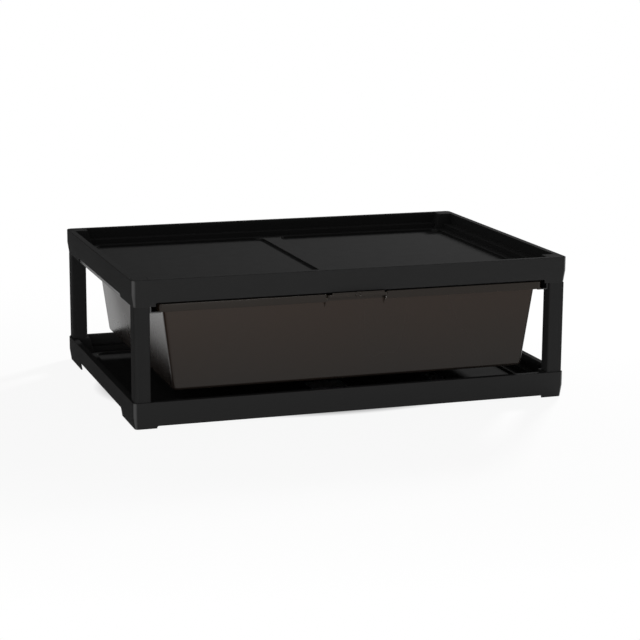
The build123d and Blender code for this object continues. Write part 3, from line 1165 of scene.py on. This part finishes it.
@dataclass
class Screws:
    """The pan-head screws that hold up one runner.

    Args:
        node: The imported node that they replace.
        material: Their material.
        head_radius: The radius of a head.
        head_height: How tall a head is.
        head_round: The radius of its lower edge.
        head_rim: How wide the flat round the recess is.
        recess_depth: How deep the recess is.
        recess_taper: How wide its end is, as a share of its mouth.
        shank_radius: The radius of a shank.
        edge_round: The width of the rounding on the other edges.
        count: How many there are.
    """

    node: str
    material: Material
    head_radius: float = 4 * MM
    head_height: float = 2.6 * MM
    head_round: float = 1.2 * MM
    head_rim: float = 1.5 * MM
    recess_depth: float = 1.4 * MM
    recess_taper: float = 0.7
    shank_radius: float = 1.9 * MM
    edge_round: float = 0.15 * MM
    count: int = 3

    def _screw(self, foot: Vector, high: float) -> Piece:
        """Models one screw, head down.

        Args:
            foot: The middle of its head's underside.
            high: The height of its tip.

        Returns:
            The screw.
        """
        middle = foot + Vector((0, 0, self.head_height / 2))
        screw = Bench.drum("screw", middle, self.head_radius, self.head_height, sides=24)
        with Bench.editing(screw):
            Bench.pick(screw, Pick.EDGE, at(foot.z, Axis.Z))
            Bench.round_off(self.head_round, segments=3)
            Bench.pick(screw, Pick.FACE, at(foot.z, Axis.Z))
            bpy.ops.mesh.inset(thickness=self.head_rim)
            Bench.push((0, 0, self.recess_depth))
            Bench.stretch((self.recess_taper, self.recess_taper, 1), foot)
            Bench.pick(screw, Pick.FACE, at(foot.z + self.head_height, Axis.Z))
            bpy.ops.mesh.inset(thickness=self.head_radius - self.shank_radius)
            Bench.push((0, 0, high - foot.z - self.head_height))
        Bench.polish(screw, self.edge_round, segments=1, angle=40)
        return screw

    def build(self) -> Piece:
        """Models one screw, copies it to the other places and joins them.

        Returns:
            The screws, as one piece.
        """
        low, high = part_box(self.node)
        foot = Vector(((low.x + high.x) / 2, low.y + self.head_radius, low.z))
        step = (high.y - self.head_radius - foot.y) / (self.count - 1)
        first = self._screw(foot, high.z)
        others = [Bench.copy(first, Vector((0, step * n, 0))) for n in range(1, self.count)]
        screws = Bench.join(f"{self.node}_set", first, *others)
        finish(screws, Body.FRAME, self.material)
        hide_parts(self.node)
        return screws


@dataclass(frozen=True)
class Lamp:
    """A soft rectangular lamp.

    Args:
        name: Its name.
        place: Where it hangs.
        size: How wide and how high it is.
        power: Its power, in watts.
    """

    name: str
    place: Numbers
    size: Span
    power: float

    def hang(self, target: Vector) -> None:
        """Hangs the lamp in its place and points it.

        Args:
            target: The point that it lights.
        """
        data = bpy.data.lights.new(self.name, "AREA")
        data.shape = "RECTANGLE"
        data.size, data.size_y = self.size
        data.energy = self.power
        lamp = bpy.data.objects.new(self.name, data)
        bpy.context.scene.collection.objects.link(lamp)
        lamp.location = self.place
        lamp.rotation_euler = (target - Vector(self.place)).to_track_quat("-Z", "Y").to_euler()


@dataclass
class Studio:
    """A pale floor, soft light and the camera.

    Args:
        floor_size: The floor's width.
        floor_grey: How pale it is where it keeps the shadow.
        floor_depth: How much faster than across it turns white towards the front and back.
        white_from: The squares of how far out it starts to turn white, and is nearly white.
        white_to: The squares of how far out it is nearly white, and wholly.
        nearly_white: How white it is between those two.
        camera_place: Where the camera stands.
        tilt: How far the camera looks up from straight down, in degrees.
        roll: How far it leans, in degrees.
        pan: How far it is turned from looking along +Y, in degrees.
        lens: Its focal length, in millimetres.
        sensor: The width of its sensor, in millimetres.
        sky_fill: The strength of the light that comes from all round.
        target: The point that the lamps light.
        lamps: The lamps.
    """

    floor_size: float = 30.0
    floor_grey: float = 0.8
    floor_depth: float = 2.0
    white_from: Span = (0.16, 0.24)
    white_to: Span = (1.0, 4.0)
    nearly_white: float = 0.92
    camera_place: Numbers = (-1.3162, -4.0362, 1.0372)
    tilt: float = 77.973
    roll: float = 0.297
    pan: float = -18.439
    lens: float = 108.05
    sensor: float = 36.0
    sky_fill: float = 0.26
    target: Numbers = (0.0, 0.0, 0.2)
    lamps: tuple[Lamp, ...] = (
        Lamp("key", place=(2.6, 2.6, 2.0), size=(0.6, 0.6), power=270.0),
        Lamp("front", place=(-0.6, -3.2, 0.2), size=(3.0, 0.3), power=54.0),
        Lamp("left", place=(-3.5, -0.8, 0.2), size=(1.6, 0.3), power=4.0),
    )

    def _camera(self) -> None:
        """Stands the camera where the photograph was taken from."""
        data = bpy.data.cameras.new("camera")
        data.lens = self.lens
        data.sensor_width = self.sensor
        camera = bpy.data.objects.new("camera", data)
        bpy.context.scene.collection.objects.link(camera)
        turn = (
            Matrix.Rotation(math.radians(self.pan), 4, "Z")
            @ Matrix.Rotation(math.radians(self.tilt), 4, "X")
            @ Matrix.Rotation(math.radians(self.roll), 4, "Z")
        )
        camera.matrix_world = Matrix.Translation(self.camera_place) @ turn
        bpy.context.scene.camera = camera

    def _floor_material(self) -> Material:
        """Makes the floor's finish, matt under the rack and shown as white further out.

        Returns:
            The material.
        """
        recipe = Recipe(bpy.data.materials.new("pale_floor"))
        x, y = recipe.along(Axis.X), recipe.along(Axis.Y)
        away = x * x + y * y * self.floor_depth
        last = away.between(*self.white_to) * (1 - self.nearly_white)
        white = away.between(*self.white_from) * (self.nearly_white + last)
        grey = (self.floor_grey, self.floor_grey, self.floor_grey, 1.0)
        matt = recipe.node("ShaderNodeBsdfDiffuse", inputs={"Color": grey})
        glow = recipe.node("ShaderNodeEmission", inputs={"Color": WHITE, "Strength": 1.0})
        both = recipe.node(
            "ShaderNodeMixShader",
            inputs={0: recipe.seen() * white, 1: matt.outputs[0], 2: glow.outputs[0]},
        )
        recipe.node("ShaderNodeOutputMaterial", inputs={"Surface": both.outputs[0]})
        return recipe.owner

    def _floor(self) -> None:
        """Lays the floor."""
        Bench.clear()
        bpy.ops.mesh.primitive_plane_add(size=self.floor_size, location=(0, 0, 0))
        floor = Bench.settle("floor")
        floor.data.materials.append(self._floor_material())

    def _sky(self) -> None:
        """A white surround where it is seen or mirrored, and a gentler one where it lights."""
        recipe = Recipe(bpy.data.worlds.new("surround"))
        fill, shown = (
            recipe.node("ShaderNodeBackground", inputs={"Color": WHITE, "Strength": strength})
            for strength in (self.sky_fill, 1.0)
        )
        both = recipe.node(
            "ShaderNodeMixShader",
            inputs={0: recipe.seen(), 1: fill.outputs[0], 2: shown.outputs[0]},
        )
        recipe.node("ShaderNodeOutputWorld", inputs={"Surface": both.outputs[0]})
        bpy.context.scene.world = recipe.owner

    def build(self) -> None:
        """Sets up everything round the rack."""
        bpy.context.scene.view_settings.view_transform = "Standard"
        self._camera()
        self._floor()
        self._sky()
        for lamp in self.lamps:
            lamp.hang(Vector(self.target))
        log.info("studio: %d lamps", len(self.lamps))


def tub_smoke() -> Material:
    """The tub's smoke-brown plastic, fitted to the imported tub's heights.

    Returns:
        The material.
    """
    tub_low, tub_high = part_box("tub")
    return SmokePlastic(
        name="tub_smoke",
        body=Shade(38, 27, 20),
        # Painted shade towards the floor: darker and greyer than the body.
        deep=Shade(21, 20, 19),
        # Painted shade on the lip.
        shaded=Shade(26, 20, 15),
        # Lighter edges and scuffs: wear, with a painted highlight on the edges.
        wear_and_highlight=Shade(84, 78, 72),
        roughness=0.27,
        gloss=0.24,
        low=tub_low.z,
        lip=tub_high.z - Tub.eyelet_rise - Tub.lip_face,
        high=tub_high.z,
    ).make()


def main() -> None:
    """Builds the rack's pieces in order."""
    logging.basicConfig(level=logging.INFO, format="%(message)s")
    # Painted shade: the faces of the trays and fittings that look up get a darker colour.
    tray, fitting = (
        MouldedPlastic(
            name=name,
            body=Shade(41, 41, 41),
            # Lighter edge colour: wear with a painted highlight.
            wear_and_highlight=Shade(54, 54, 54),
            top_shade=Shade(top_shading, top_shading, top_shading),
            roughness=0.8,
            gloss=0.012,
        ).make()
        for name, top_shading in (("tray_black", 29), ("fitting_black", 28))
    )
    post = ExtrudedPlastic(
        name="post_black",
        body=Shade(38, 38, 38),
        wear_and_highlight=Shade(46, 46, 46),
        roughness=0.8,
        gloss=0.012,
        run=(1.0, 1.0, 0.006),
    ).make()
    runner = ExtrudedPlastic(
        name="runner_black",
        body=Shade(18, 18, 19),
        wear_and_highlight=Shade(50, 50, 52),
        roughness=0.4,
        gloss=0.35,
        run=(1.0, 0.006, 1.0),
    ).make()
    steel = BrushedSteel(
        name="screw_steel",
        body=Shade(196, 198, 202),
        stained=Shade(150, 152, 158),
    ).make()

    for name in ("lower_tray", "upper_tray"):
        Moulding(name, tray).build()
    for end in ("front", "rear"):
        for side in ("left", "right"):
            corner = f"{end}_{side}"
            Dressing([f"{corner}_post"], post).build()
            fittings = [f"{corner}_{part}" for part in ("lower_plug", "upper_plug", "cap")]
            Dressing(fittings, fitting).build()
    Dressing(["left_runner", "right_runner"], runner).build()
    for name in ("left_runner_screws", "right_runner_screws"):
        Screws(name, steel).build()
    Tub(tub_smoke()).build()
    Studio().build()


if __name__ == "__main__":
    main()
